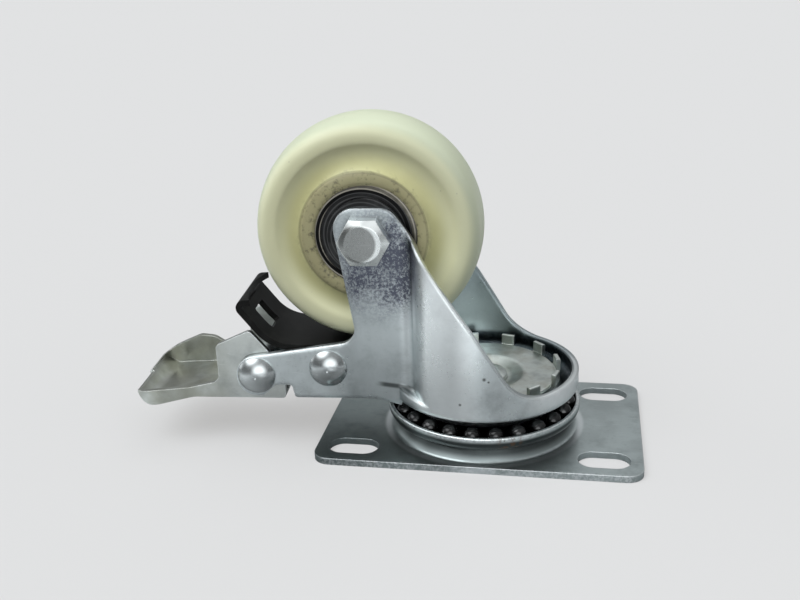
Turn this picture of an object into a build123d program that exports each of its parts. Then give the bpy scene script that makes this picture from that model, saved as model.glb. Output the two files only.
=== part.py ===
"""Swivel castor with a plate, a pressed fork and a brake pedal, standing on its plate."""

import math
import os

from build123d import *

os.makedirs("parts", exist_ok=True)

# Sizes in millimetres, angles in degrees.
# The mounting face is z = 0 and the swivel axis is Z.
# Fork, wheel and brake are drawn with the wheel towards -X, then turned by rest_swivel.
rest_swivel = 4.4
fit_clearance = 0.05
running_clearance = 0.03
side_gap = 0.3

# Mounting plate
plate_length = 95.0
plate_width = 60.0
plate_sheet = 2.0
plate_corner = 5.0
slot_edge_x = 11.0
slot_edge_y = 8.5
slot_length = 15.0
slot_width = 9.0
boss_height = 6.0
boss_top_radius = 25.2
boss_flare = 2.6

# Ball races of the swivel
race_sheet = 1.2
race_lip_height = 4.5
outer_ball_diameter = 5.0
outer_ball_circle = 25.4
outer_ball_count = 24
outer_ball_turn = 13.3
inner_ball_diameter = 4.0
inner_ball_circle = 16.5
inner_ball_count = 16

# Fork sheet and crown
fork_sheet = 2.0
crown_radius = 28.6
crown_bend = 1.7
skirt_height = 14.7
crown_hole_radius = 11.0
crown_height = 11.0
crown_rim_height = 20.5
lip_height = 16.5
shoulder_height = 17.8
shoulder_slope = 0.29
shoulder_start = -16.3

# Legs and arms
leg_width = 30.0
leg_bend_x = -22.3
leg_bend_radius = 3.0
leg_bulge_radius = 14.0
arm_bottom = 15.9
arm_end_bottom = 16.3

# King rivet, bush and toothed lock ring
king_radius = 6.0
king_head_radius = 7.6
king_foot_radius = 10.0
bush_radius = 9.0
ring_sheet = 1.4
ring_dimple_depth = 1.6
ring_clearance = 0.3
tooth_count = 12
tooth_width = 4.0
tooth_height = 3.1

# Axle and bearings
axle_x = -32.4
axle_z = 65.0
axle_radius = 4.0
hex_across_flats = 13.0
head_face_radius = 5.1
bolt_head_height = 5.3
nut_height = 8.0
bolt_length = 40.0
sleeve_wall = 0.95
axle_washer_radius = 11.0
axle_washer_thickness = 1.0
bearing_width = 9.0
bearing_outer_radius = 14.6
inner_ring_radius = 8.2
outer_ring_wall = 1.5
bearing_ball_diameter = 4.8
bearing_ball_count = 7
shield_thickness = 0.4

# Wheel
wheel_diameter = 65.8
hub_ring_radius = 18.2
hub_ring_step = 0.9
dish_rim = 6.9
dish_depth = 1.2
tread_crown_radius = 36.0
tread_edge_radius = 4.0
hub_ring_gap = 0.7

# Pivots of the brake
pedal_pin_x = -66.6
pedal_pin_z = 23.0
leaf_pin_x = -45.0
leaf_pin_z = 25.5
pin_radius = 3.0
pin_head_radius = 5.6
pin_head_height = 2.9
bush_wall = 1.45

# Brake leaf and pedal
leaf_sheet = 1.8
leaf_side_gap = 0.4
leaf_tip_x = -72.4
leaf_tip_z = 44.6
leaf_flange = 4.9
leaf_bend_radius = 13.0
leaf_bend_x = -61.9
tongue_end_x = -19.6
tongue_end_z = 28.0
tongue_end_width = 2.6
tongue_root_width = 10.0
tip_hollow = 2.7
slot_distance = 10.1
leaf_slot_length = 7.8
leaf_slot_width = 8.4
leaf_slot_offset = -1.1
pedal_sheet = 1.5
toe_x = -105.6
toe_half_width = 15.2

# Derived heights, widths and radii
cut_reach = 2 * leg_width
boss_foot_radius = boss_top_radius + boss_flare
slot_spacing_x = plate_length - 2 * slot_edge_x
slot_spacing_y = plate_width - 2 * slot_edge_y
leg_half = leg_width / 2
leg_inner = leg_half - fork_sheet
leaf_half_width = leg_inner - leaf_side_gap
dish_outer_radius = wheel_diameter / 2 - dish_rim
race_floor = boss_height + race_sheet
outer_ball_radius = outer_ball_diameter / 2
outer_groove = outer_ball_radius + running_clearance
outer_ball_z = race_floor + outer_groove
crown_floor = crown_height + fork_sheet
inner_ball_radius = inner_ball_diameter / 2
inner_ball_z = crown_floor + inner_ball_radius + running_clearance
ring_bottom = inner_ball_z + inner_ball_radius + running_clearance
ring_top = ring_bottom + ring_sheet
dimple_bottom = ring_bottom - ring_dimple_depth
dimple_top = dimple_bottom + ring_sheet
cone_offset = outer_ball_circle - outer_ball_z - math.sqrt(2) * outer_groove
cone_offset_inside = cone_offset - math.sqrt(2) * fork_sheet
pan_flat_radius = crown_height + cone_offset
pan_flat_inside = crown_floor + cone_offset_inside
wall_inside = crown_radius - fork_sheet

# Centres of the two bends that carry each leg from its flat out to the crown wall
concave_x = leg_bend_x
concave_y = leg_half + leg_bend_radius
concave_reach = math.hypot(concave_x, concave_y)
bulge_reach = crown_radius - leg_bulge_radius + 0.3
bend_to_bulge = leg_bend_radius + leg_bulge_radius
along = (bulge_reach**2 - bend_to_bulge**2 + concave_reach**2) / (2 * concave_reach)
across = math.sqrt(bulge_reach**2 - along**2)
bulge_x = (along * concave_x + across * concave_y) / concave_reach
bulge_y = (along * concave_y - across * concave_x) / concave_reach
ring_radius = concave_reach - leg_bend_radius - fork_sheet - ring_clearance
disc_radius = ring_radius - ring_sheet


def polar(x, y, radius, angle):
    """Point at an angle on a circle."""
    return (x + radius * math.cos(angle), y + radius * math.sin(angle))


def leg_arcs(inset):
    """Three point arcs of the leg plan, with the sheet surface moved in by inset."""
    to_bulge = math.atan2(bulge_y - concave_y, bulge_x - concave_x)
    down = -math.pi / 2
    bend = leg_bend_radius + inset
    bulge = leg_bulge_radius - inset
    wall = crown_radius - inset
    back = to_bulge + math.pi
    lead = math.acos((bulge_reach**2 + wall**2 - bulge**2) / (2 * bulge_reach * wall))
    to_wall = math.atan2(bulge_y, bulge_x) + lead
    meet = polar(0, 0, wall, to_wall)
    end = math.atan2(meet[1] - bulge_y, meet[0] - bulge_x)
    left = [
        [polar(concave_x, concave_y, bend, a) for a in (down, (down + to_bulge) / 2, to_bulge)],
        [polar(bulge_x, bulge_y, bulge, a) for a in (back, (back + end) / 2, end)],
    ]
    rear = [meet, (wall, 0), (meet[0], -meet[1])]
    right = [[(x, -y) for x, y in reversed(arc)] for arc in reversed(left)]
    return [*left, rear, *right]


rest_turn = Location((0, 0, 0), (0, 0, rest_swivel))
all_round = Axis.Z
axle_axis = Axis((axle_x, 0, axle_z), (0, 1, 0))
axle_plane = Plane(origin=(axle_x, 0, axle_z), x_dir=(0, 1, 0), z_dir=(1, 0, 0))
pins = [(pedal_pin_x, pedal_pin_z), (leaf_pin_x, leaf_pin_z)]


# Mounting plate with a raised boss and four slots
boss_slant = math.hypot(1, (boss_foot_radius - boss_top_radius) / (boss_height - plate_sheet))
boss_taper = (boss_foot_radius - boss_top_radius) / (boss_height - plate_sheet)
cavity_top = boss_height - plate_sheet
cavity_top_radius = boss_top_radius + boss_taper * plate_sheet - plate_sheet * boss_slant
cavity_foot_radius = cavity_top_radius + boss_taper * cavity_top

with BuildPart() as mounting_plate:
    with BuildSketch():
        RectangleRounded(plate_length, plate_width, plate_corner)
        with GridLocations(slot_spacing_x, slot_spacing_y, 2, 2):
            SlotOverall(slot_length, slot_width, mode=Mode.SUBTRACT)
    extrude(amount=plate_sheet)
    with BuildSketch(Plane.XZ):
        with BuildLine():
            FilletPolyline(
                (0, plate_sheet / 2),
                (boss_foot_radius + 1.2, plate_sheet / 2),
                (boss_foot_radius + 1.2, plate_sheet),
                (boss_foot_radius, plate_sheet),
                (boss_top_radius, boss_height),
                (0, boss_height),
                radius=[0, 0, 0, 1.2, 1.0, 0],
                close=True,
            )
        make_face()
    revolve(axis=all_round)
    with BuildSketch(Plane.XZ):
        with BuildLine():
            Polyline(
                (0, 0),
                (cavity_foot_radius, 0),
                (cavity_top_radius, cavity_top),
                (0, cavity_top),
                close=True,
            )
        make_face()
    revolve(axis=all_round, mode=Mode.SUBTRACT)
    with BuildSketch():
        Circle(king_radius + fit_clearance)
    extrude(amount=boss_height, mode=Mode.SUBTRACT)
mounting_plate.part.label = "mounting_plate"
export_step(mounting_plate.part, "parts/mounting_plate.step")


# Pressed cup that carries the outer row of balls
lip_inner = outer_ball_circle + outer_groove
lip_outer = lip_inner + race_sheet
lip_top = boss_height + race_lip_height
with BuildPart() as race_cup:
    with BuildSketch(Plane.XZ):
        with BuildLine():
            FilletPolyline(
                (king_radius + fit_clearance, boss_height),
                (lip_outer, boss_height),
                (lip_outer, lip_top),
                (lip_inner, lip_top),
                (lip_inner, race_floor),
                (king_radius + fit_clearance, race_floor),
                radius=[0, outer_groove + 0.4, 0.4, 0.3, outer_groove, 0],
                close=True,
            )
        make_face()
    revolve(axis=all_round)
race_cup.part.label = "race_cup"
export_step(race_cup.part, "parts/race_cup.step")


# Two rows of swivel balls, over and under the crown of the fork
with BuildPart() as swivel_balls_outer:
    with Locations((0, 0, outer_ball_z)):
        with PolarLocations(outer_ball_circle, outer_ball_count, start_angle=outer_ball_turn):
            Sphere(outer_ball_radius)
swivel_balls_outer.part.label = "swivel_balls_outer"
export_step(swivel_balls_outer.part, "parts/swivel_balls_outer.step")

with BuildPart() as swivel_balls_inner:
    with Locations((0, 0, inner_ball_z)):
        with PolarLocations(inner_ball_circle, inner_ball_count):
            Sphere(inner_ball_radius)
swivel_balls_inner.part.label = "swivel_balls_inner"
export_step(swivel_balls_inner.part, "parts/swivel_balls_inner.step")


# Bush, lock ring and rivet that hold the swivel together
with BuildPart() as king_bush:
    with BuildSketch(Plane.XY.offset(race_floor)):
        Circle(bush_radius)
        Circle(king_radius + fit_clearance, mode=Mode.SUBTRACT)
    extrude(amount=dimple_bottom - race_floor)
king_bush.part.label = "king_bush"
export_step(king_bush.part, "parts/king_bush.step")

dimple_radius = king_head_radius + 0.8
with BuildPart() as lock_tooth:
    with BuildSketch(Plane.XZ):
        with BuildLine():
            FilletPolyline(
                (disc_radius - 2, ring_bottom),
                (ring_radius, ring_bottom),
                (ring_radius, ring_top + tooth_height),
                (disc_radius, ring_top + tooth_height),
                (disc_radius, ring_top),
                (disc_radius - 2, ring_top),
                radius=[0, ring_sheet, 0.4, 0.3, 0.3, 0],
                close=True,
            )
        make_face()
    extrude(amount=tooth_width / 2, both=True)

with BuildPart() as lock_ring:
    with BuildSketch(Plane.XZ):
        with BuildLine():
            FilletPolyline(
                (king_radius + fit_clearance, dimple_bottom),
                (dimple_radius + 0.4, dimple_bottom),
                (dimple_radius + 4.4, ring_bottom),
                (disc_radius, ring_bottom),
                (disc_radius, ring_top),
                (dimple_radius + 4.0, ring_top),
                (dimple_radius, dimple_top),
                (king_radius + fit_clearance, dimple_top),
                radius=[0, 4.0, 2.6, 0.5, 0.4, 4.0, 2.6, 0],
                close=True,
            )
        make_face()
    revolve(axis=all_round)
    with PolarLocations(0, tooth_count, start_angle=180 / tooth_count):
        add(lock_tooth.part)
lock_ring.part.label = "lock_ring"
export_step(lock_ring.part, "parts/lock_ring.step")

with BuildPart() as king_rivet:
    with BuildSketch(Plane.XZ):
        with BuildLine():
            FilletPolyline(
                (0, cavity_top - 2.4),
                (king_foot_radius - 1.5, cavity_top - 2.4),
                (king_foot_radius, cavity_top - 1.2),
                (king_foot_radius, cavity_top),
                (king_radius, cavity_top),
                (king_radius, dimple_top),
                (king_head_radius, dimple_top),
                (king_head_radius - 0.5, dimple_top + 1.2),
                (king_head_radius - 3.2, dimple_top + 1.9),
                (king_head_radius - 5.5, dimple_top + 0.9),
                (0, dimple_top + 0.6),
                radius=[0, 1, 0.8, 0, 0, 0, 0.4, 0.8, 1.2, 1.2, 0],
                close=True,
            )
        make_face()
    revolve(axis=all_round)
king_rivet.part.label = "king_rivet"
export_step(king_rivet.part, "parts/king_rivet.step")


# Inside of the drawn fork: crown pan, hollow shoulders and the space between the legs
shoulder_drop = fork_sheet * math.hypot(1, shoulder_slope)
inner_start = shoulder_start - (shoulder_drop - fork_sheet) / shoulder_slope
front_x = -90.0
top_z = axle_z + 20
inner_arcs = leg_arcs(fork_sheet)
outer_arcs = leg_arcs(0)
front_plane = Plane(origin=(0, 0, 0), x_dir=(-1, 0, 0), z_dir=(0, 1, 0))

with BuildPart() as fork_inside:
    with BuildSketch(Plane.XY.offset(crown_height)):
        with BuildLine():
            Polyline(inner_arcs[-1][2], (front_x - 5, -leg_inner), (front_x - 5, leg_inner), inner_arcs[0][0])
            for arc in inner_arcs:
                ThreePointArc(*arc)
        make_face()
    extrude(amount=40)
    with BuildSketch(Plane.XZ):
        with BuildLine():
            Polyline(
                (front_x, crown_height),
                (cut_reach, crown_height),
                (cut_reach, shoulder_height - fork_sheet),
                (inner_start, shoulder_height - fork_sheet),
                (front_x, shoulder_height - fork_sheet - shoulder_slope * (front_x - inner_start)),
                close=True,
            )
        make_face()
    extrude(amount=cut_reach, both=True)
    with BuildSketch(front_plane):
        with BuildLine():
            FilletPolyline(
                (0, crown_floor),
                (pan_flat_inside, crown_floor),
                (wall_inside, wall_inside - cone_offset_inside),
                (wall_inside, crown_floor + 30),
                (0, crown_floor + 30),
                radius=[0, 1, 0, 0, 0],
                close=True,
            )
        make_face()
    revolve(axis=all_round, mode=Mode.INTERSECT)
    with BuildSketch(Plane.XY.offset(lip_height)):
        with BuildLine():
            Polyline(inner_arcs[-1][2], (front_x - 5, -leg_inner), (front_x - 5, leg_inner), inner_arcs[0][0])
            for arc in inner_arcs:
                ThreePointArc(*arc)
        make_face()
    extrude(amount=top_z + 5 - lip_height)


# Fork drawn from one sheet: crown pan, two legs and two arms for the brake
head_left = axle_x - 9.8
head_top = axle_z + 8.7
arm_end = pedal_pin_x - 6.1
arm_merge_x = -math.sqrt(crown_radius**2 - leg_half**2) + 0.6
with BuildPart() as fork:
    with BuildSketch(Plane.XZ):
        with BuildLine():
            Polyline(
                (front_x, crown_height),
                (cut_reach, crown_height),
                (cut_reach, shoulder_height),
                (shoulder_start, shoulder_height),
                (front_x, shoulder_height - shoulder_slope * (front_x - shoulder_start)),
                close=True,
            )
        make_face()
    extrude(amount=cut_reach, both=True)
    with BuildSketch(front_plane):
        with BuildLine():
            FilletPolyline(
                (0, crown_height),
                (pan_flat_radius, crown_height),
                (skirt_height + cone_offset, skirt_height),
                (crown_radius, skirt_height),
                (crown_radius, crown_height + 30),
                (0, crown_height + 30),
                radius=[0, 3, 0.6, crown_bend, 0, 0],
                close=True,
            )
        make_face()
    revolve(axis=all_round, mode=Mode.INTERSECT)
    for side in (-1, 1):
        with BuildSketch(Plane.XZ.offset(side * (leg_half - fork_sheet / 2))):
            with BuildLine():
                FilletPolyline(
                    (front_x, arm_bottom),
                    (arm_merge_x - 7.0, arm_bottom),
                    (arm_merge_x, skirt_height - 0.8),
                    (arm_merge_x + 1.3, shoulder_height + 1),
                    (front_x, shoulder_height + 1),
                    radius=[0, 9, 0, 0, 0],
                    close=True,
                )
            make_face()
        extrude(amount=fork_sheet / 2, both=True)
    with BuildSketch(Plane.XY.offset(shoulder_height)):
        with BuildLine():
            Polyline(outer_arcs[-1][2], (front_x, -leg_half), (front_x, leg_half), outer_arcs[0][0])
            for arc in outer_arcs:
                ThreePointArc(*arc)
        make_face()
    extrude(amount=top_z - shoulder_height)
    add(fork_inside.part, mode=Mode.SUBTRACT)
    with BuildSketch(Plane.XZ):
        with BuildLine():
            FilletPolyline(
                (head_left, head_top),
                (axle_x + 7.2, head_top),
                (-2.4, axle_z - 22.9),
                (10.7, crown_rim_height),
                (crown_radius + 6, crown_rim_height),
                (crown_radius + 6, crown_height - 6),
                (-crown_radius - 5, crown_height - 6),
                (-crown_radius - 5, arm_bottom),
                (pedal_pin_x + 11.2, arm_bottom),
                (pedal_pin_x + 10.4, arm_end_bottom + 3.6),
                (pedal_pin_x + 5.3, arm_end_bottom + 3.6),
                (pedal_pin_x + 1.6, arm_end_bottom),
                (arm_end, arm_end_bottom),
                (arm_end, pedal_pin_z + 5),
                (-35.9, 33.9),
                radius=[6, 5.5, 40, 14, 0, 0, 0, 0, 1, 1, 1, 2, 5.9, 5.9, 5],
                close=True,
            )
        make_face()
    extrude(amount=cut_reach, both=True, mode=Mode.INTERSECT)
    with BuildSketch():
        Circle(crown_hole_radius)
    extrude(amount=crown_floor + 1, mode=Mode.SUBTRACT)
    with BuildSketch(Plane.XZ):
        with Locations((axle_x, axle_z)):
            Circle(axle_radius + 0.1)
        with Locations(*pins):
            Circle(pin_radius + fit_clearance)
    extrude(amount=cut_reach, both=True, mode=Mode.SUBTRACT)
fork.part.move(rest_turn)
fork.part.label = "fork"
export_step(fork.part, "parts/fork.step")


# Axle bolt with a plain hexagon head, and its lock nut
hex_corner = hex_across_flats / math.sqrt(3)
near_side = Plane(origin=(axle_x, -leg_half, axle_z), x_dir=(1, 0, 0), z_dir=(0, -1, 0))
far_side = Plane(origin=(axle_x, leg_half, axle_z), x_dir=(1, 0, 0), z_dir=(0, 1, 0))
chamfer_radius = hex_across_flats / 2 - 0.2
chamfer_rise = (hex_corner - chamfer_radius) * math.tan(math.radians(30))
head_rise = (hex_corner - head_face_radius) * math.tan(math.radians(30))
bolt_end = bolt_length - leg_half
with BuildPart() as axle_bolt:
    with BuildSketch(near_side):
        RegularPolygon(hex_corner, 6)
    extrude(amount=bolt_head_height)
    with BuildSketch(axle_plane):
        with BuildLine():
            Polyline(
                (-leg_half, 0),
                (-leg_half, hex_corner),
                (head_rise - leg_half - bolt_head_height, hex_corner),
                (-leg_half - bolt_head_height, head_face_radius),
                (-leg_half - bolt_head_height, 0),
                close=True,
            )
        make_face()
    revolve(axis=axle_axis, mode=Mode.INTERSECT)
    with BuildSketch(near_side):
        Circle(axle_radius)
    extrude(amount=-bolt_length)
    chamfer(axle_bolt.edges().filter_by(GeomType.CIRCLE).sort_by(Axis.Y)[-1], 0.8)
axle_bolt.part.move(rest_turn)
axle_bolt.part.label = "axle_bolt"
export_step(axle_bolt.part, "parts/axle_bolt.step")

nut_shoulder = nut_height * 0.75
with BuildPart() as axle_nut:
    with BuildSketch(far_side):
        RegularPolygon(hex_corner, 6)
    extrude(amount=nut_shoulder)
    with BuildSketch(axle_plane):
        with BuildLine():
            Polyline(
                (leg_half, 0),
                (leg_half, chamfer_radius),
                (leg_half + chamfer_rise, hex_corner),
                (leg_half + nut_shoulder - chamfer_rise, hex_corner),
                (leg_half + nut_shoulder, chamfer_radius),
                (leg_half + nut_shoulder, 0),
                close=True,
            )
        make_face()
    revolve(axis=axle_axis, mode=Mode.INTERSECT)
    with BuildSketch(axle_plane):
        with BuildLine():
            FilletPolyline(
                (leg_half + nut_shoulder - 1, axle_radius),
                (leg_half + nut_shoulder - 1, hex_across_flats / 2 - 0.9),
                (leg_half + nut_height, hex_across_flats / 2 - 0.9),
                (leg_half + nut_height, axle_radius),
                radius=[0, 0, 1.2, 0],
                close=True,
            )
        make_face()
    revolve(axis=axle_axis)
    with BuildSketch(far_side):
        Circle(axle_radius)
    extrude(amount=nut_height, mode=Mode.SUBTRACT)
axle_nut.part.move(rest_turn)
axle_nut.part.label = "axle_nut"
export_step(axle_nut.part, "parts/axle_nut.step")

# Sleeve and washers that are clamped between the legs
sleeve_inner = axle_radius + fit_clearance
sleeve_outer = sleeve_inner + sleeve_wall
bearing_face = leg_inner - axle_washer_thickness
with BuildPart() as axle_sleeve:
    with BuildSketch(axle_plane):
        with Locations((0, (sleeve_inner + sleeve_outer) / 2)):
            Rectangle(2 * leg_inner, sleeve_wall)
    revolve(axis=axle_axis)
axle_sleeve.part.move(rest_turn)
axle_sleeve.part.label = "axle_sleeve"
export_step(axle_sleeve.part, "parts/axle_sleeve.step")

washer_bore = sleeve_outer + fit_clearance
with BuildPart() as axle_washers:
    with BuildSketch(axle_plane):
        for side in (-1, 1):
            with Locations((side * (leg_inner + bearing_face) / 2, (washer_bore + axle_washer_radius) / 2)):
                Rectangle(axle_washer_thickness, axle_washer_radius - washer_bore)
    revolve(axis=axle_axis)
axle_washers.part.move(rest_turn)
axle_washers.part.label = "axle_washers"
export_step(axle_washers.part, "parts/axle_washers.step")


# Two sealed ball bearings
bearing_centre = bearing_face - bearing_width / 2
seat_start = bearing_face - bearing_width
outer_ring_inner = bearing_outer_radius - outer_ring_wall
pitch_radius = (inner_ring_radius + outer_ring_inner) / 2
shield_centre = bearing_width / 2 - 0.5 - shield_thickness / 2
shield_inner = inner_ring_radius + 0.4
with BuildPart() as bearing_inner_rings:
    with BuildSketch(axle_plane):
        for side in (-1, 1):
            with Locations((side * bearing_centre, (sleeve_outer + inner_ring_radius) / 2)):
                Rectangle(bearing_width, inner_ring_radius - sleeve_outer)
    revolve(axis=axle_axis)
bearing_inner_rings.part.move(rest_turn)
bearing_inner_rings.part.label = "bearing_inner_rings"
export_step(bearing_inner_rings.part, "parts/bearing_inner_rings.step")

with BuildPart() as bearing_outer_rings:
    with BuildSketch(axle_plane):
        for side in (-1, 1):
            with Locations((side * bearing_centre, bearing_outer_radius - outer_ring_wall / 2)):
                Rectangle(bearing_width, outer_ring_wall)
    revolve(axis=axle_axis)
bearing_outer_rings.part.move(rest_turn)
bearing_outer_rings.part.label = "bearing_outer_rings"
export_step(bearing_outer_rings.part, "parts/bearing_outer_rings.step")

with BuildPart() as bearing_shields:
    with BuildSketch(axle_plane):
        for side in (-1, 1):
            for face in (-1, 1):
                along_axle = side * bearing_centre + face * shield_centre
                with Locations((along_axle, (shield_inner + outer_ring_inner) / 2)):
                    Rectangle(shield_thickness, outer_ring_inner - shield_inner)
    revolve(axis=axle_axis)
bearing_shields.part.move(rest_turn)
bearing_shields.part.label = "bearing_shields"
export_step(bearing_shields.part, "parts/bearing_shields.step")

ball_planes = [
    Plane(origin=(axle_x, side * bearing_centre, axle_z), x_dir=(1, 0, 0), z_dir=(0, -1, 0))
    for side in (-1, 1)
]
bearing_ball_radius = bearing_ball_diameter / 2
with BuildPart() as bearing_balls:
    with Locations(*ball_planes):
        with PolarLocations(pitch_radius, bearing_ball_count):
            Sphere(bearing_ball_radius)
bearing_balls.part.move(rest_turn)
bearing_balls.part.label = "bearing_balls"
export_step(bearing_balls.part, "parts/bearing_balls.step")

pocket_radius = bearing_ball_radius + 0.1
cage_half = pocket_radius + 0.5
with BuildPart() as bearing_cages:
    with BuildSketch(*ball_planes):
        Circle(pitch_radius + 0.7)
        Circle(pitch_radius - 0.7, mode=Mode.SUBTRACT)
    extrude(amount=cage_half, both=True)
    with BuildSketch(*[plane.offset(-pocket_radius) for plane in ball_planes]):
        with PolarLocations(pitch_radius, bearing_ball_count):
            Circle(pocket_radius)
    extrude(amount=2 * cage_half, mode=Mode.SUBTRACT)
bearing_cages.part.move(rest_turn)
bearing_cages.part.label = "bearing_cages"
export_step(bearing_cages.part, "parts/bearing_cages.step")


# Moulded wheel with a crowned tread and dished sides
wheel_radius = wheel_diameter / 2
hub_face = leg_inner - hub_ring_gap
dish_face = hub_face - hub_ring_step
tread_drop = tread_crown_radius - math.sqrt(tread_crown_radius**2 - dish_face**2)
tread_edge = wheel_radius - tread_drop
dish_middle = (hub_ring_radius + dish_outer_radius) / 2
with BuildPart() as wheel:
    with BuildSketch(axle_plane):
        with BuildLine():
            Polyline(
                (-dish_face, hub_ring_radius + 0.4),
                (-hub_face, hub_ring_radius),
                (-hub_face, bearing_outer_radius),
                (-seat_start, bearing_outer_radius),
                (-seat_start, bearing_outer_radius - 2.5),
                (seat_start, bearing_outer_radius - 2.5),
                (seat_start, bearing_outer_radius),
                (hub_face, bearing_outer_radius),
                (hub_face, hub_ring_radius),
                (dish_face, hub_ring_radius + 0.4),
            )
            ThreePointArc(
                (dish_face, hub_ring_radius + 0.4),
                (dish_face - dish_depth, dish_middle),
                (dish_face, dish_outer_radius),
            )
            Line((dish_face, dish_outer_radius), (dish_face, tread_edge))
            ThreePointArc((dish_face, tread_edge), (0, wheel_radius), (-dish_face, tread_edge))
            Line((-dish_face, tread_edge), (-dish_face, dish_outer_radius))
            ThreePointArc(
                (-dish_face, dish_outer_radius),
                (dish_depth - dish_face, dish_middle),
                (-dish_face, hub_ring_radius + 0.4),
            )
        make_face()
        fillet(vertices().sort_by(Axis.Y)[-2:], radius=tread_edge_radius)
    revolve(axis=axle_axis)
wheel.part.move(rest_turn)
wheel.part.label = "wheel"
export_step(wheel.part, "parts/wheel.step")


# Rivets and bushes on which pedal and leaf turn
dome = pin_head_height - 0.5
dome_radius = (pin_head_radius**2 + dome**2) / (2 * dome)
half_head = pin_head_radius / 2
half_dome = dome_radius - math.sqrt(dome_radius**2 - half_head**2)
head_end = leg_half + pin_head_height
bush_outer = pin_radius + fit_clearance + bush_wall
bush_end = leg_inner - fit_clearance
with BuildPart() as brake_rivets:
    for pin_x, pin_z in pins:
        with BuildSketch(Plane(origin=(pin_x, 0, pin_z), x_dir=(0, 1, 0), z_dir=(1, 0, 0))):
            with BuildLine():
                Polyline(
                    (-head_end, 0),
                    (head_end, 0),
                )
                ThreePointArc(
                    (head_end, 0),
                    (head_end - half_dome, half_head),
                    (leg_half + 0.5, pin_head_radius),
                )
                Polyline(
                    (leg_half + 0.5, pin_head_radius),
                    (leg_half, pin_head_radius),
                    (leg_half, pin_radius),
                    (-leg_half, pin_radius),
                    (-leg_half, pin_head_radius),
                    (-leg_half - 0.5, pin_head_radius),
                )
                ThreePointArc(
                    (-leg_half - 0.5, pin_head_radius),
                    (half_dome - head_end, half_head),
                    (-head_end, 0),
                )
            make_face()
        revolve(axis=Axis((pin_x, 0, pin_z), (0, 1, 0)))
brake_rivets.part.move(rest_turn)
brake_rivets.part.label = "brake_rivets"
export_step(brake_rivets.part, "parts/brake_rivets.step")

with BuildPart() as pivot_bushes:
    with BuildSketch(Plane.XZ):
        with Locations(*pins):
            Circle(bush_outer)
            Circle(pin_radius + fit_clearance, mode=Mode.SUBTRACT)
    extrude(amount=bush_end, both=True)
pivot_bushes.part.move(rest_turn)
pivot_bushes.part.label = "pivot_bushes"
export_step(pivot_bushes.part, "parts/pivot_bushes.step")


# Brake leaf: a bent strip with a tip for the tread, a rolled eye and a tongue for the lock ring
eye_line = bush_outer + fit_clearance + leaf_sheet / 2
run_z = leaf_pin_z + eye_line
eye_x = leaf_pin_x + eye_line
eye_right = eye_x + leaf_sheet / 2 + 0.05
flange_end = leaf_tip_x + leaf_flange
tip_arc = (leaf_half_width**2 + tip_hollow**2) / (2 * tip_hollow)
slope = math.atan2(leaf_tip_z - run_z, leaf_bend_x - leaf_tip_x)
slot_plane = Plane(
    origin=(
        leaf_tip_x + slot_distance * math.cos(slope),
        leaf_slot_offset,
        leaf_tip_z - slot_distance * math.sin(slope),
    ),
    x_dir=(math.cos(slope), 0, -math.sin(slope)),
    z_dir=(math.sin(slope), 0, math.cos(slope)),
)
with BuildPart() as brake_leaf:
    with BuildSketch(Plane.XZ):
        with BuildLine():
            FilletPolyline(
                (flange_end, leaf_tip_z + 0.3),
                (leaf_tip_x, leaf_tip_z),
                (leaf_bend_x, run_z),
                (leaf_pin_x, run_z),
                radius=[1.6, leaf_bend_radius],
            )
            ThreePointArc(
                (leaf_pin_x, run_z),
                polar(leaf_pin_x, leaf_pin_z, eye_line, math.pi / 4),
                (eye_x, leaf_pin_z),
            )
            FilletPolyline(
                (eye_x, leaf_pin_z),
                (eye_x, leaf_pin_z - 3.7),
                (tongue_end_x, tongue_end_z),
                radius=2.2,
            )
        trace(line_width=leaf_sheet)
    extrude(amount=leaf_half_width, both=True)
    with BuildSketch(Plane.XY.offset(leaf_pin_z - 20)):
        with BuildLine():
            Polyline(
                (leaf_tip_x - 10, -leaf_half_width),
                (eye_right, -leaf_half_width),
                (eye_right, -tongue_root_width / 2),
                (tongue_end_x, -tongue_end_width / 2),
                (tongue_end_x, tongue_end_width / 2),
                (eye_right, tongue_root_width / 2),
                (eye_right, leaf_half_width),
                (leaf_tip_x - 10, leaf_half_width),
                close=True,
            )
        make_face()
    extrude(amount=cut_reach, mode=Mode.INTERSECT)
    with BuildSketch(Plane.XY.offset(leaf_tip_z - 2)):
        with Locations((flange_end - tip_hollow + tip_arc, 0)):
            Circle(tip_arc)
    extrude(amount=10, mode=Mode.SUBTRACT)
    with BuildSketch(slot_plane):
        RectangleRounded(leaf_slot_length, leaf_slot_width, 0.8)
    extrude(amount=4, both=True, mode=Mode.SUBTRACT)
brake_leaf.part.move(rest_turn)
brake_leaf.part.label = "brake_leaf"
export_step(brake_leaf.part, "parts/brake_leaf.step")


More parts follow.
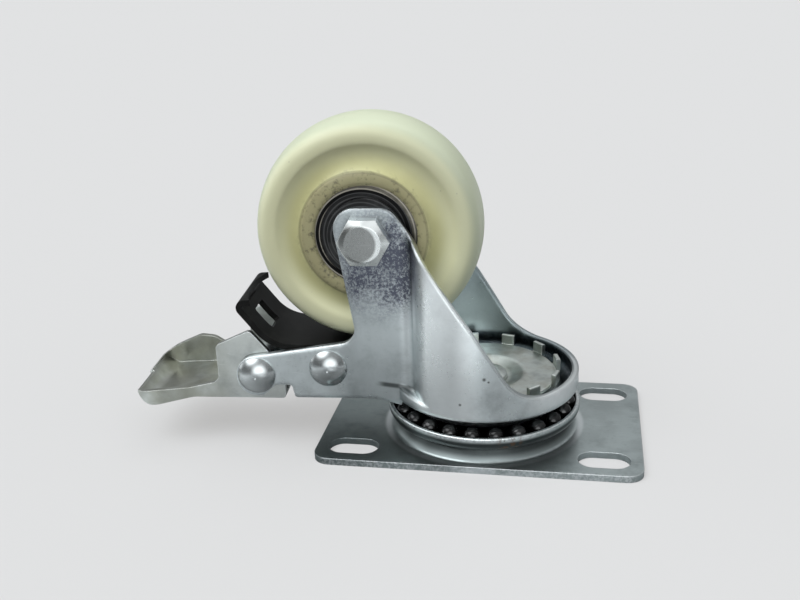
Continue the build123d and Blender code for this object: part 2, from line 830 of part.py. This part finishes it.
# Brake pedal: a pressed channel with two cam ears and a flared toe
# Each row is a corner: distance from the pivot along X and Z, and its rounding.
pedal_half = leg_inner - side_gap
toe_reach = toe_x - pedal_pin_x
pedal_bottom = [
    (7.8, -8.5, 1.0),
    (-20.5, -8.5, 15.0),
    (toe_reach + 4.6, -10.6, 5.0),
    (toe_reach, -6.2, 0.7),
]
near_top = [
    (toe_reach + 8.0, -5.4, 6.0),
    (-21.5, -5.4, 6.0),
    (-14.0, -3.7, 2.0),
    (-12.4, -2.0, 1.0),
    (-12.4, 8.4, 1.6),
    (-1.8, 13.2, 1.4),
    (3.3, 6.9, 3.0),
    (7.8, -1.0, 3.0),
]
far_top = [
    (toe_reach + 5.0, -3.1, 4.0),
    (-24.8, 1.5, 4.0),
    (-20.1, 1.5, 4.0),
    (-16.7, -0.7, 3.0),
    (-8.4, -0.3, 2.0),
    (-7.4, 10.4, 1.6),
    (-1.8, 13.2, 1.4),
    (3.3, 6.9, 3.0),
    (7.8, -1.0, 3.0),
]
channel_inside = [
    (15.0, pedal_sheet - 8.5, 0),
    (-20.4, pedal_sheet - 8.5, 13.5),
    (toe_reach + 5.2, pedal_sheet - 10.6, 3.5),
    (toe_reach - 10.0, 5.1, 0),
    (toe_reach - 10.0, 30.0, 0),
    (15.0, 30.0, 0),
]
plan_outside = [
    (15.0, pedal_half, 0),
    (-21.0, pedal_half, 12.0),
    (toe_reach + 8.0, toe_half_width, 8.0),
    (toe_reach, toe_half_width, 5.0),
    (toe_reach, -toe_half_width, 5.0),
    (toe_reach + 8.0, -toe_half_width, 8.0),
    (-21.0, -pedal_half, 12.0),
    (15.0, -pedal_half, 0),
]
plan_inside = [
    (20.0, pedal_half - pedal_sheet, 0),
    (-21.3, pedal_half - pedal_sheet, 10.5),
    (toe_reach + 7.8, toe_half_width - pedal_sheet, 6.5),
    (toe_reach + pedal_sheet, toe_half_width - pedal_sheet, 3.5),
    (toe_reach + pedal_sheet, pedal_sheet - toe_half_width, 3.5),
    (toe_reach + 7.8, pedal_sheet - toe_half_width, 6.5),
    (-21.3, pedal_sheet - pedal_half, 10.5),
    (20.0, pedal_sheet - pedal_half, 0),
]


def rounded(rows):
    """Corners and roundings of a closed line, for FilletPolyline."""
    return [row[:2] for row in rows], [row[2] for row in rows]


pedal_side = Plane(origin=(pedal_pin_x, 0, pedal_pin_z), x_dir=(1, 0, 0), z_dir=(0, -1, 0))
pedal_plan = Plane(origin=(pedal_pin_x, 0, 0), x_dir=(1, 0, 0), z_dir=(0, 0, 1))
with BuildPart() as pedal_hollow:
    with BuildSketch(pedal_side):
        with BuildLine():
            points, radii = rounded(channel_inside)
            FilletPolyline(*points, radius=radii, close=True)
        make_face()
    extrude(amount=40, both=True)
    with BuildSketch(pedal_plan):
        with BuildLine():
            points, radii = rounded(plan_inside)
            FilletPolyline(*points, radius=radii, close=True)
        make_face()
    extrude(amount=80, mode=Mode.INTERSECT)

with BuildPart() as pedal:
    for side, top in ((1, near_top), (-1, far_top)):
        with BuildSketch(pedal_side):
            with BuildLine():
                points, radii = rounded(pedal_bottom + top)
                FilletPolyline(*points, radius=radii, close=True)
            make_face()
        extrude(amount=side * 40)
    with BuildSketch(pedal_plan):
        with BuildLine():
            points, radii = rounded(plan_outside)
            FilletPolyline(*points, radius=radii, close=True)
        make_face()
    extrude(amount=80, mode=Mode.INTERSECT)
    add(pedal_hollow.part, mode=Mode.SUBTRACT)
    with BuildSketch(pedal_side):
        Circle(bush_outer + fit_clearance)
    extrude(amount=40, both=True, mode=Mode.SUBTRACT)
pedal.part.move(rest_turn)
pedal.part.label = "pedal"
export_step(pedal.part, "parts/pedal.step")
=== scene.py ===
"""Swivel castor in a pale studio: materials, light and camera."""

import math

import bpy
from mathutils import Matrix, Vector

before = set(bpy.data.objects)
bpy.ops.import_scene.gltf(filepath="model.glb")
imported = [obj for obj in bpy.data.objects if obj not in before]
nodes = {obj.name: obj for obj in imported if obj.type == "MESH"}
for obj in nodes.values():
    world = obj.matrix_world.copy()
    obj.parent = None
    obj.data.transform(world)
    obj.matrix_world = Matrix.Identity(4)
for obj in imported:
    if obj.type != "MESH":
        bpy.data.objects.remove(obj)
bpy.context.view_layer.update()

# Places on the part in millimetres: the wheel lies towards -X, the camera towards -Y.
# Two numbers are where a fade starts and ends, and four are a fade in and a fade out.
axle_x, axle_z = -32.3, 65.0
near_leg_y, far_leg_y = (-12, -9), (6, 12)
leg_flat_x, leg_swell_x = (-42, -36, -23, -21), (-19, -15, -4, 4)
leg_fold_x, leg_fold_width, leg_fold_z = -17.4, (0.2, 1.1), (34, 42, 52, 56)
foot_crease_z, foot_crease_width, foot_crease_x = 20.6, (0.3, 1.1), (-30, -27, -20, -17)
foot_crease_middle, foot_crease_slope = -27.8, 0.13
mottle_centre, mottle_radius = (-26, -17, 58), 22
crown_end_x, crown_outside = (12, 20), (26.6, 27.4)
crown_wall_radius, crown_wall_y, crown_wall_z = (23.0, 24.0, 26.9, 27.3), (-6, 4), (20.0, 21.5)
fork_specks = (((3.1, -28.4, 28.7), 0.8), ((-3.7, -28.4, 20.6), 0.6), ((4.3, -28.2, 27.9), 0.5))
plate_shade_x, plate_rim_y = (-44, 12), (-30.2, -28.6)
boss_z, boss_foot_z = (2.2, 2.8), (2.2, 4.4)
boss_foot_radius, boss_ring_width = 29.4, (0.3, 1.6)
cup_wall_z, cup_lip_z = (8.7, 9.7), (9.2, 9.9)
rust_centre, rust_radius = (10.2, -27.3, 9.0), 4.5
bolt_head_y, bolt_face_radius, bolt_chamfer_radius = (-19, -18), (4.9, 5.2), (5.2, 5.6)
# Painted dark reflection and painted highlight on each rivet dome: centre and radius
rivet_shade_spots = (((-64.4, -17.4, 25.2), 2.9), ((-42.8, -17.4, 27.7), 2.9))
rivet_highlight_spots = (((-69.8, -17.2, 23.6), 3.2), ((-48.2, -17.2, 26.1), 3.2))
pedal_tread_x = (-80, -72)
wheel_tread_radius, wheel_ring_radius = (25, 32), (20, 25, 29, 32)
hub_radius, hub_dust_radius = (17.9, 18.5), (15.5, 20.5)
hub_joint_radius, hub_joint_width = 18.3, (0.15, 0.5)
shield_groove_radius, shield_groove_width = 12.9, (0.35, 0.6)

# Tones as linear red, green and blue
zinc_tone, zinc_dark = (0.55, 0.59, 0.595), (0.17, 0.185, 0.19)
pedal_tone = (0.48, 0.50, 0.48)
plate_tone, plate_dark = (0.40, 0.445, 0.445), (0.12, 0.14, 0.14)
race_tone = (0.46, 0.50, 0.50)
lock_tone = (0.60, 0.64, 0.61)
rivet_tone, bolt_tone, fastener_dark = (0.40, 0.42, 0.42), (0.42, 0.43, 0.42), (0.16, 0.17, 0.17)
# Painted highlight tone for the edges of the zinc sheet
edge_highlight_tone = (0.95, 0.98, 0.98)
# Painted shade on the boss wall, darkest up the wall and lighter at its foot
boss_wall_shade_tone, boss_foot_shade_tone = (0.03, 0.036, 0.036), (0.30, 0.34, 0.34)
wheel_tone, wheel_pale_tone = (0.62, 0.595, 0.30), (0.71, 0.69, 0.37)
grease_tone = (0.03, 0.03, 0.03)
bearing_tone, shield_tone = (0.085, 0.078, 0.065), (0.014, 0.014, 0.014)
black_tone = (0.004, 0.004, 0.0035)
floor_tone, floor_light = (0.25, 0.252, 0.255), (0.42, 0.415, 0.41)
floor_unlit_tone, floor_band_tone = (0.04, 0.04, 0.04), (0.97, 0.99, 1.0)

# Paints laid over those tones: strength, then tone
scratch_paint = 0.22, (0.80, 0.83, 0.83)
# Painted shade on the flat of the near leg
leg_flat_shade_paint = 0.45, (0.28, 0.31, 0.315)
leg_mottle_paint = 1.0, (0.08, 0.085, 0.11)
# Painted highlight on the swell of the near leg and the crown end
leg_swell_highlight_paint = 0.62, (0.97, 1.0, 1.0)
# Painted highlight along the fold of the near leg
leg_fold_highlight_paint = 0.8, (0.97, 1.0, 1.0)
# Painted shade on the far leg
far_leg_shade_paint = 0.6, (0.33, 0.42, 0.445)
# Painted shade in the crease at the foot of the near leg
foot_crease_shade_paint = 0.85, (0.05, 0.055, 0.055)
# Painted shadow on the wall inside the crown
crown_wall_shadow_paint = 1.0, (0.03, 0.045, 0.06)
speck_paint = 0.9, (0.05, 0.05, 0.045)
plate_shade_paint = 0.55, (0.13, 0.165, 0.165)
plate_rim_paint = 0.65, (0.80, 0.82, 0.83)
# Strength of the painted shade on the boss
boss_shade_strength = 0.9
# Painted highlight in a ring round the boss foot
boss_ring_highlight_paint = 0.7, (0.80, 0.84, 0.85)
# Painted shade on the race cup wall
cup_wall_shade_paint = 0.93, (0.025, 0.032, 0.032)
# Painted highlight on the race cup lip
cup_lip_highlight_paint = 0.7, (0.92, 0.95, 0.95)
rust_paint = 0.6, (0.16, 0.09, 0.05)
old_grease_paint = 0.45, (0.33, 0.31, 0.24)
# Painted shade on the bolt face and painted highlight on its chamfer
bolt_face_shade_paint = 0.75, (0.20, 0.205, 0.20)
bolt_chamfer_highlight_paint = 0.6, (0.85, 0.88, 0.87)
# Painted dark reflection and painted highlight on the rivet domes
rivet_shade_paint = 0.8, (0.07, 0.075, 0.075)
rivet_highlight_paint = 0.7, (0.90, 0.92, 0.92)
shoe_dirt_paint = 0.6, (0.22, 0.215, 0.15)
tread_paint = 0.85, (0.58, 0.63, 0.485)
# Painted light in a ring on the wheel's side face
wheel_ring_light_paint = 0.7, (0.88, 0.875, 0.60)
hub_paint = 0.6, (0.32, 0.275, 0.17)
hub_joint_paint = 0.45, (0.12, 0.10, 0.06)
hub_dust_paint = 0.75, (0.07, 0.06, 0.04)
wheel_speck_paint = 0.25, (0.16, 0.13, 0.08)
# Strength of the painted highlights on the turned rings
turned_ring_highlight_strength = 0.8
groove_paint = 1.0, (0.003, 0.003, 0.003)

# Surface: widths in millimetres, turned rings in radians per millimetre
# Width of the painted highlight along zinc edges
edge_highlight_width = 0.6
wheel_edge_softness, steel_edge_softness = 2.6, 0.25
bump_depth = 0.05
zinc_bump, steel_bump, wheel_bump = 0.12, 0.12, 0.08
bevel_samples = 4
turned_ring_pace = 5.2


class Value:
    """A shader socket with arithmetic."""

    def __init__(self, tree, socket):
        self.tree = tree
        self.socket = socket

    def math(self, operation, *others, clamp=False):
        node = self.tree.nodes.new("ShaderNodeMath")
        node.operation = operation
        node.use_clamp = clamp
        for i, item in enumerate((self, *others)):
            feed(self.tree, node.inputs[i], item)
        return Value(self.tree, node.outputs[0])

    def __add__(self, other):
        return self.math("ADD", other)

    def __radd__(self, other):
        return self.math("ADD", other)

    def __sub__(self, other):
        return self.math("SUBTRACT", other)

    def __rsub__(self, other):
        return self.math("MULTIPLY", -1).math("ADD", other)

    def __mul__(self, other):
        return self.math("MULTIPLY", other)

    def __pow__(self, other):
        return self.math("POWER", other)

    def clamp(self):
        return self.math("ADD", 0, clamp=True)

    def ramp(self, start, end):
        """0 at start and 1 at end, smoothly."""
        node = self.tree.nodes.new("ShaderNodeMapRange")
        node.interpolation_type = "SMOOTHSTEP"
        feed(self.tree, node.inputs["Value"], self)
        feed(self.tree, node.inputs["From Min"], start)
        feed(self.tree, node.inputs["From Max"], end)
        return Value(self.tree, node.outputs[0])

    def fall(self, start, end):
        """1 at start and 0 at end, smoothly."""
        return 1 - self.ramp(start, end)

    def span(self, start, full, fade, end):
        """1 from full to fade, and 0 before start and past end."""
        return self.ramp(start, full) * self.fall(fade, end)

    def line(self, centre, full, end):
        """1 up to one distance from a centre value, and 0 past another."""
        return (self - centre).math("ABSOLUTE").fall(full, end)


def feed(tree, socket, item):
    """Link a value or set a constant."""
    if isinstance(item, Value):
        tree.links.new(item.socket, socket)
    elif socket.type == "RGBA" and len(item) == 3:
        socket.default_value = (*item, 1)
    else:
        socket.default_value = item


class Look:
    """A material on the Principled shader, with places in millimetres."""

    def __init__(self, name):
        self.material = bpy.data.materials.new(name)
        self.material.use_nodes = True
        self.tree = self.material.node_tree
        self.shader = self.tree.nodes["Principled BSDF"]
        spot = self.node("TexCoord", "Object")
        self.place = self.vector("SCALE", spot, Scale=1000.0)
        split = self.tree.nodes.new("ShaderNodeSeparateXYZ")
        feed(self.tree, split.inputs[0], self.place)
        self.x, self.y, self.z = (Value(self.tree, s) for s in split.outputs)

    def node(self, kind, output=0, settings=None, **inputs):
        made = self.tree.nodes.new("ShaderNode" + kind)
        for key, item in (settings or {}).items():
            setattr(made, key, item)
        for key, item in inputs.items():
            feed(self.tree, made.inputs[key.replace("_", " ")], item)
        return Value(self.tree, made.outputs[output])

    def vector(self, operation, first, *rest, **inputs):
        made = self.tree.nodes.new("ShaderNodeVectorMath")
        made.operation = operation
        for i, item in enumerate((first, *rest)):
            feed(self.tree, made.inputs[i], item)
        for key, item in inputs.items():
            feed(self.tree, made.inputs[key], item)
        name = "Value" if operation in ("DISTANCE", "DOT_PRODUCT") else "Vector"
        return Value(self.tree, made.outputs[name])

    def noise(self, size, detail, rough, stretch=(1, 1, 1), seed=0.0):
        """Cloudy noise with features of about a size in millimetres."""
        where = self.vector("MULTIPLY", self.place, stretch)
        where = self.vector("ADD", where, (seed, seed * 1.7, seed * 2.3))
        settings = {"Scale": 1.0 / size, "Detail": detail, "Roughness": rough}
        return self.node("TexNoise", "Fac", Vector=where, **settings)

    def cells(self, size, seed):
        """Distance to the nearest of scattered points, a size in millimetres apart."""
        where = self.vector("ADD", self.place, (seed, seed * 1.3, seed * 2.1))
        return self.node("TexVoronoi", "Distance", Vector=where, Scale=1.0 / size)

    def blot(self, centre, radius, soft=0.5):
        """1 at a place in millimetres and 0 beyond a radius."""
        return self.vector("DISTANCE", self.place, centre).fall(radius * (1 - soft), radius)

    def from_axle(self):
        """Distance from the wheel's axle in millimetres."""
        return ((self.x - axle_x) ** 2 + (self.z - axle_z) ** 2) ** 0.5

    def from_swivel(self):
        """Distance from the swivel axis in millimetres."""
        return (self.x**2 + self.y**2) ** 0.5

    def mix(self, factor, first, second):
        """Two colours mixed, on the sockets that the node keeps for colours."""
        made = self.tree.nodes.new("ShaderNodeMix")
        made.data_type = "RGBA"
        feed(self.tree, made.inputs[0], factor)
        feed(self.tree, made.inputs[6], first)
        feed(self.tree, made.inputs[7], second)
        return Value(self.tree, made.outputs[2])

    def paint(self, color, where, paint):
        """A paint laid over a colour where a value is 1."""
        strength, tone = paint
        return self.mix((where * strength).clamp(), color, tone)

    def rounded(self, radius):
        """The normal over edges rounded by a radius in millimetres."""
        return self.node("Bevel", 0, {"samples": bevel_samples}, Radius=radius / 1000)

    def edge(self, radius):
        """1 on edges rounded by a radius in millimetres, 0 on flats."""
        plain = self.node("NewGeometry", "Normal")
        return (1 - self.vector("DOT_PRODUCT", self.rounded(radius), plain)).ramp(0.01, 0.16)

    def finish(self, color, rough, metal, bump, strength, edge_radius):
        """Set the surface, with a fine bump over softly rounded edges."""
        soft = self.rounded(edge_radius)
        settings = {"Strength": strength, "Distance": bump_depth / 1000}
        normal = self.node("Bump", Height=bump, Normal=soft, **settings)
        for key, item in (
            ("Base Color", color),
            ("Roughness", rough),
            ("Metallic", metal),
            ("Normal", normal),
        ):
            feed(self.tree, self.shader.inputs[key], item)
        return self.material


def zinc(name, base, dark, marks, rough=0.30, smudge=0.5, edge_highlight=0.5, soft=0.3):
    """Blue zinc plating on pressed sheet, handled and a little greasy, with a painted highlight
    along its edges.
    """
    look = Look(name)
    cloud = look.noise(14, 4, 0.6, seed=3.1)
    fine = look.noise(0.9, 5, 0.65, seed=7.7)
    grime = look.noise(8.0, 4, 0.58, seed=1.3).ramp(0.46, 0.78) * smudge
    grains = look.noise(1.2, 4, 0.66, seed=4.4).ramp(0.52, 0.80) * 0.21
    scratch = look.noise(0.5, 2, 0.5, stretch=(0.08, 1, 1), seed=5.0).ramp(0.64, 0.72)
    lighter = tuple(c * 1.18 for c in base)
    color = look.mix(cloud.ramp(0.35, 0.68), base, lighter)
    color = look.mix((grime + grains).clamp(), color, dark)
    color = look.paint(color, scratch, scratch_paint)
    # Painted highlight: edges made lighter, as if catching light
    color = look.mix((look.edge(edge_highlight_width) * edge_highlight).clamp(), color, edge_highlight_tone)
    color = marks(look, color)
    roughness = (rough + (cloud - 0.5) * 0.14 + (fine - 0.5) * 0.14 + grime * 0.12).clamp()
    return look.finish(color, roughness, 1.0, fine + cloud * 2, zinc_bump, soft)


def fork_marks(look, color):
    """Dark mottling on the near leg and dark specks, painted shade on the leg's flat, in the crease
    at its foot, on the far leg and inside the crown wall, and painted highlights on the swell, the
    crown end and the fold.
    """
    near = look.y.fall(*near_leg_y)
    around = look.from_swivel()

    # Painted shade on the flat of the near leg
    color = look.paint(color, look.x.span(*leg_flat_x) * near, leg_flat_shade_paint)
    fine = look.noise(0.8, 5, 0.75, seed=11.0).ramp(0.36, 0.62) * 1.1 + 0.6
    coarse = look.noise(6.0, 3, 0.5, seed=12.0).ramp(0.35, 0.6) * 0.4 + 0.6
    mottle = look.blot(mottle_centre, mottle_radius, 0.8) * fine * coarse
    color = look.paint(color, mottle * near, leg_mottle_paint)

    # Painted highlight on the swell of the near leg and the outside of the crown end
    crown_end_highlight = look.x.ramp(*crown_end_x) * around.ramp(*crown_outside)
    color = look.paint(color, look.x.span(*leg_swell_x) * near + crown_end_highlight, leg_swell_highlight_paint)
    # Painted shade on the far leg
    color = look.paint(color, look.y.ramp(*far_leg_y), far_leg_shade_paint)
    # Painted highlight along the fold of the near leg
    fold_highlight = look.x.line(leg_fold_x, *leg_fold_width) * look.z.span(*leg_fold_z)
    color = look.paint(color, fold_highlight * near, leg_fold_highlight_paint)

    # Painted shade in the crease at the foot of the near leg
    level = look.z + (look.x - foot_crease_middle) * foot_crease_slope
    crease_shade = level.line(foot_crease_z, *foot_crease_width) * look.x.span(*foot_crease_x)
    color = look.paint(color, crease_shade * near, foot_crease_shade_paint)
    # Painted shadow on the wall inside the crown
    wall_shade = around.span(*crown_wall_radius) * look.z.fall(*crown_wall_z) * look.y.ramp(*crown_wall_y)
    cloudy = look.noise(2.5, 3, 0.5, seed=14.0) * 0.5 + 0.55
    color = look.paint(color, wall_shade * cloudy, crown_wall_shadow_paint)
    for centre, radius in fork_specks:
        color = look.paint(color, look.blot(centre, radius, 0.9), speck_paint)
    return color


def plate_marks(look, color):
    """Painted shade towards the wheel and on the boss wall, a worn bright rim, and a painted
    highlight in a ring round the boss foot.
    """
    color = look.paint(color, look.x.fall(*plate_shade_x), plate_shade_paint)
    speckled_rim = look.y.fall(*plate_rim_y) * look.noise(0.8, 4, 0.7, seed=8.0).ramp(0.42, 0.60)
    color = look.paint(color, speckled_rim, plate_rim_paint)
    # Painted shade over the boss, darkest up its wall
    boss = look.z.ramp(*boss_z)
    wall_shade = look.mix(look.z.fall(*boss_foot_z), boss_wall_shade_tone, boss_foot_shade_tone)
    color = look.paint(color, boss, (boss_shade_strength, wall_shade))
    # Painted highlight in a ring round the boss foot
    ring = look.from_swivel().line(boss_foot_radius, *boss_ring_width) * (1 - boss)
    return look.paint(color, ring, boss_ring_highlight_paint)


def race_marks(look, color):
    """Painted highlight on the lip over painted shade on the wall, with a little rust."""
    speckled_rim = look.noise(0.8, 4, 0.7, seed=8.0).ramp(0.35, 0.60)
    # Painted shade on the race cup wall
    color = look.paint(color, look.z.fall(*cup_wall_z), cup_wall_shade_paint)
    # Painted highlight on the lip, broken up by noise
    color = look.paint(color, look.z.ramp(*cup_lip_z) * speckled_rim, cup_lip_highlight_paint)
    rust = look.blot(rust_centre, rust_radius) * look.noise(1.6, 4, 0.7, seed=2.0).ramp(0.48, 0.6)
    return look.paint(color, rust, rust_paint)


def lock_marks(look, color):
    """Brown film of old grease on the tooth ring and rivet."""
    film = look.noise(6.0, 4, 0.6, seed=6.0).ramp(0.40, 0.72)
    return look.paint(color, film, old_grease_paint)


def bolt_marks(look, color):
    """Painted shade on the flat face inside a painted highlight on the chamfer."""
    reach = look.from_axle()
    head = look.y.fall(*bolt_head_y)
    # Painted shade on the bolt face and painted highlight on its chamfer
    color = look.paint(color, reach.fall(*bolt_face_radius) * head, bolt_face_shade_paint)
    return look.paint(color, reach.ramp(*bolt_chamfer_radius) * head, bolt_chamfer_highlight_paint)


def rivet_marks(look, color):
    """A painted dark reflection to one side of each domed head and a painted highlight on the
    other.
    """
    patchy = look.noise(1.5, 4, 0.6, seed=3.0).ramp(0.28, 0.5)
    for (shade_spot, shade_radius), (glint_spot, glint_radius) in zip(rivet_shade_spots, rivet_highlight_spots):
        # Painted dark reflection on one side of the dome, painted highlight on the other
        color = look.paint(color, look.blot(shade_spot, shade_radius, 0.8) * patchy, rivet_shade_paint)
        color = look.paint(color, look.blot(glint_spot, glint_radius, 0.9), rivet_highlight_paint)
    return color


def pedal_marks(look, color):
    """Shoe dirt in the tread of the pedal."""
    dirt = look.noise(12.0, 3, 0.5, seed=9.0).ramp(0.20, 0.62)
    return look.paint(color, look.x.fall(*pedal_tread_x) * dirt, shoe_dirt_paint)


def plastic(name):
    """Moulded wheel: pale olive, greener and paler on the tread, with painted light in a ring on
    the side, dusty near the hub.
    """
    look = Look(name)
    reach = look.from_axle()
    cloud = look.noise(16, 3, 0.5, seed=2.0)
    fine = look.noise(0.7, 4, 0.6, seed=9.0)
    dusty = look.noise(2.2, 5, 0.7, seed=5.5).ramp(0.50, 0.66)
    color = look.mix(cloud.ramp(0.35, 0.7), wheel_tone, wheel_pale_tone)
    color = look.paint(color, reach.ramp(*wheel_tread_radius), tread_paint)
    # Painted light in a ring on the wheel's side face
    color = look.paint(color, reach.span(*wheel_ring_radius), wheel_ring_light_paint)
    color = look.paint(color, reach.fall(*hub_radius), hub_paint)
    color = look.paint(color, reach.line(hub_joint_radius, *hub_joint_width), hub_joint_paint)
    color = look.paint(color, dusty * reach.fall(*hub_dust_radius), hub_dust_paint)
    color = look.paint(color, look.cells(4.3, 4.0).fall(0.03, 0.07), wheel_speck_paint)
    roughness = 0.40 + (fine - 0.5) * 0.1
    return look.finish(color, roughness, 0.0, fine, wheel_bump, wheel_edge_softness)


def dark_steel(name, color, rough, metal, shine=0.5, turned=False):
    """Dark steel, slightly cloudy, with turned rings about the axle where asked, their light bands
    painted highlights.
    """
    look = Look(name)
    fine = look.noise(0.8, 4, 0.6)
    cloud = look.noise(5, 4, 0.6, seed=4.0)
    tone = look.mix(cloud.ramp(0.4, 0.75), color, tuple(c * 2.2 + 0.004 for c in color))
    if turned:
        reach = look.from_axle()
        # Turned rings as lighter bands: painted highlights on the grooves
        rings = (reach * turned_ring_pace).math("SINE").ramp(0.2, 0.95)
        tone = look.mix(rings * turned_ring_highlight_strength, tone, tuple(c * 4 + 0.02 for c in color))
        groove = reach.line(shield_groove_radius, *shield_groove_width)
        tone = look.paint(tone, groove, groove_paint)
    look.shader.inputs["Specular IOR Level"].default_value = shine
    roughness = rough + (cloud - 0.5) * 0.2
    return look.finish(tone, roughness, metal, fine, steel_bump, steel_edge_softness)


def floor_look():
    """Pale and even to the camera, soft bands where metal mirrors it, near black otherwise."""
    look = Look("floor")
    seen = look.node("LightPath", "Is Camera Ray")
    mirrored = look.node("LightPath", "Is Glossy Ray")
    front = look.y.fall(-125, -80)
    tone = look.noise(60, 2, 0.5, seed=6.0).ramp(0.3, 0.7) * 0.16 + 0.20
    tone = tone + look.x.line(-130, 0, 95) * 0.50
    tone = tone + look.x.line(-12, 0, 55) * front * 0.95
    tone = tone + look.x.line(180, 0, 120) * 0.5
    bands = look.mix(tone.clamp(), (0, 0, 0), floor_band_tone)
    unseen = look.mix(mirrored, floor_unlit_tone, bands)
    base = look.mix(seen, unseen, floor_tone)
    own_light = look.mix(seen, (0, 0, 0), floor_light)
    feed(look.tree, look.shader.inputs["Base Color"], base)
    feed(look.tree, look.shader.inputs["Emission Color"], own_light)
    look.shader.inputs["Emission Strength"].default_value = 1.0
    look.shader.inputs["Roughness"].default_value = 1.0
    look.shader.inputs["Specular IOR Level"].default_value = 0.0
    return look.material


materials = {
    "fork": zinc("fork_zinc", zinc_tone, zinc_dark, fork_marks, edge_highlight=0.95, soft=1.7),
    "pedal": zinc("pedal_zinc", pedal_tone, zinc_dark, pedal_marks, 0.34, 0.4, 0.6),
    "plate": zinc("plate_zinc", plate_tone, plate_dark, plate_marks, 0.34, 0.45, 0.4),
    "race": zinc("race_zinc", race_tone, zinc_dark, race_marks, 0.30, 0.4, 0.7),
    "lock": zinc("lock_zinc", lock_tone, zinc_dark, lock_marks, 0.34, 0.5, 0.3),
    "rivet": zinc("rivet_zinc", rivet_tone, fastener_dark, rivet_marks, 0.22, 0.5, 0.2),
    "bolt": zinc("bolt_zinc", bolt_tone, fastener_dark, bolt_marks, 0.28, 0.5, 0.9),
    "grease": dark_steel("greased_balls", grease_tone, 0.10, 0.9),
    "ring": dark_steel("bearing_ring", bearing_tone, 0.32, 0.9, turned=True),
    "shield": dark_steel("bearing_shield", shield_tone, 0.38, 0.7, 0.3, turned=True),
    "black": dark_steel("black_steel", black_tone, 0.42, 0.0, 0.12),
    "plastic": plastic("wheel_plastic"),
}
looks = {
    "mounting_plate": "plate",
    "race_cup": "race",
    "swivel_balls_outer": "grease",
    "swivel_balls_inner": "grease",
    "king_bush": "grease",
    "lock_ring": "lock",
    "king_rivet": "lock",
    "fork": "fork",
    "axle_bolt": "bolt",
    "axle_nut": "bolt",
    "axle_sleeve": "rivet",
    "axle_washers": "shield",
    "bearing_inner_rings": "shield",
    "bearing_balls": "ring",
    "bearing_cages": "ring",
    "bearing_outer_rings": "ring",
    "bearing_shields": "shield",
    "wheel": "plastic",
    "brake_rivets": "rivet",
    "pivot_bushes": "rivet",
    "brake_leaf": "black",
    "pedal": "pedal",
}
for name, look in looks.items():
    mesh = nodes[name].data
    mesh.materials.clear()
    mesh.materials.append(materials[look])
    mesh.shade_smooth()

# Floor
bpy.ops.mesh.primitive_plane_add(size=30, location=(0, 0, 0))
floor = bpy.context.object
floor.name = "floor"
floor.data.materials.append(floor_look())

# World: a dome brighter towards the top, and soft lamps that mirrors see in their own strength
dome_low, dome_rise = 0.21, 0.36
backdrop_strength = 0.75
dome_tint = (0.95, 0.98, 1.0, 1)
# Direction, full and faded angle in degrees, strength on surfaces, strength in mirrors
lamps = (
    ((-0.45, -0.35, 0.85), 12, 32, 4.5, 3.0),
    ((0.10, 0.45, 0.95), 10, 30, 0.9, 0.9),
    ((0.20, -1.0, 0.12), 12, 38, 0.2, 2.6),
    ((-1.0, 0.10, 0.20), 6, 24, 2.2, 2.2),
    ((1.0, -0.20, 0.45), 15, 45, 0.9, 0.0),
)
world = bpy.data.worlds.new("studio")
bpy.context.scene.world = world
world.use_nodes = True
tree = world.node_tree
tree.nodes.clear()
out = tree.nodes.new("ShaderNodeOutputWorld")
light = tree.nodes.new("ShaderNodeBackground")
path = tree.nodes.new("ShaderNodeLightPath")
coord = tree.nodes.new("ShaderNodeTexCoord")
split = tree.nodes.new("ShaderNodeSeparateXYZ")
toward = Value(tree, coord.outputs["Generated"])
feed(tree, split.inputs[0], toward)
height = Value(tree, split.outputs[2])
mirrored = Value(tree, path.outputs["Is Glossy Ray"])
backdrop = Value(tree, path.outputs["Is Camera Ray"])

glow = dome_low + height.ramp(0.05, 0.75) * dome_rise
for direction, inner, outer, plain, mirror in lamps:
    facing = tree.nodes.new("ShaderNodeVectorMath")
    facing.operation = "DOT_PRODUCT"
    feed(tree, facing.inputs[0], toward)
    facing.inputs[1].default_value = Vector(direction).normalized()
    fade, full = math.cos(math.radians(outer)), math.cos(math.radians(inner))
    lamp = Value(tree, facing.outputs["Value"]).ramp(fade, full)
    glow = glow + lamp * (mirrored * (mirror - plain) + plain)
glow = glow * (1 - backdrop) + backdrop * backdrop_strength
feed(tree, light.inputs["Strength"], glow)
light.inputs["Color"].default_value = dome_tint
tree.links.new(light.outputs[0], out.inputs[0])

# Camera as in the photo
image_width, image_height = 800, 600
focal_pixels = 1005
eye = (0.0288, -0.2788, 0.1465)
yaw, pitch, roll = -0.191, 0.357, 0.036
ahead = Vector((math.sin(yaw) * math.cos(pitch), math.cos(yaw) * math.cos(pitch), -math.sin(pitch)))
right = Vector((math.cos(yaw), -math.sin(yaw), 0))
down = ahead.cross(right)
across = right * math.cos(roll) + down * math.sin(roll)
under = down * math.cos(roll) - right * math.sin(roll)
camera = bpy.data.cameras.new("camera")
camera.sensor_width = 36
camera.sensor_fit = "HORIZONTAL"
camera.lens = focal_pixels * camera.sensor_width / image_width
camera.clip_start = 0.01
holder = bpy.data.objects.new("camera", camera)
bpy.context.scene.collection.objects.link(holder)
turn = Matrix((across, -under, -ahead)).transposed().to_4x4()
holder.matrix_world = Matrix.Translation(eye) @ turn
bpy.context.scene.camera = holder

scene = bpy.context.scene
scene.render.engine = "CYCLES"
scene.render.resolution_x = image_width
scene.render.resolution_y = image_height
scene.view_settings.view_transform = "Standard"
scene.view_settings.look = "None"
scene.cycles.max_bounces = 8
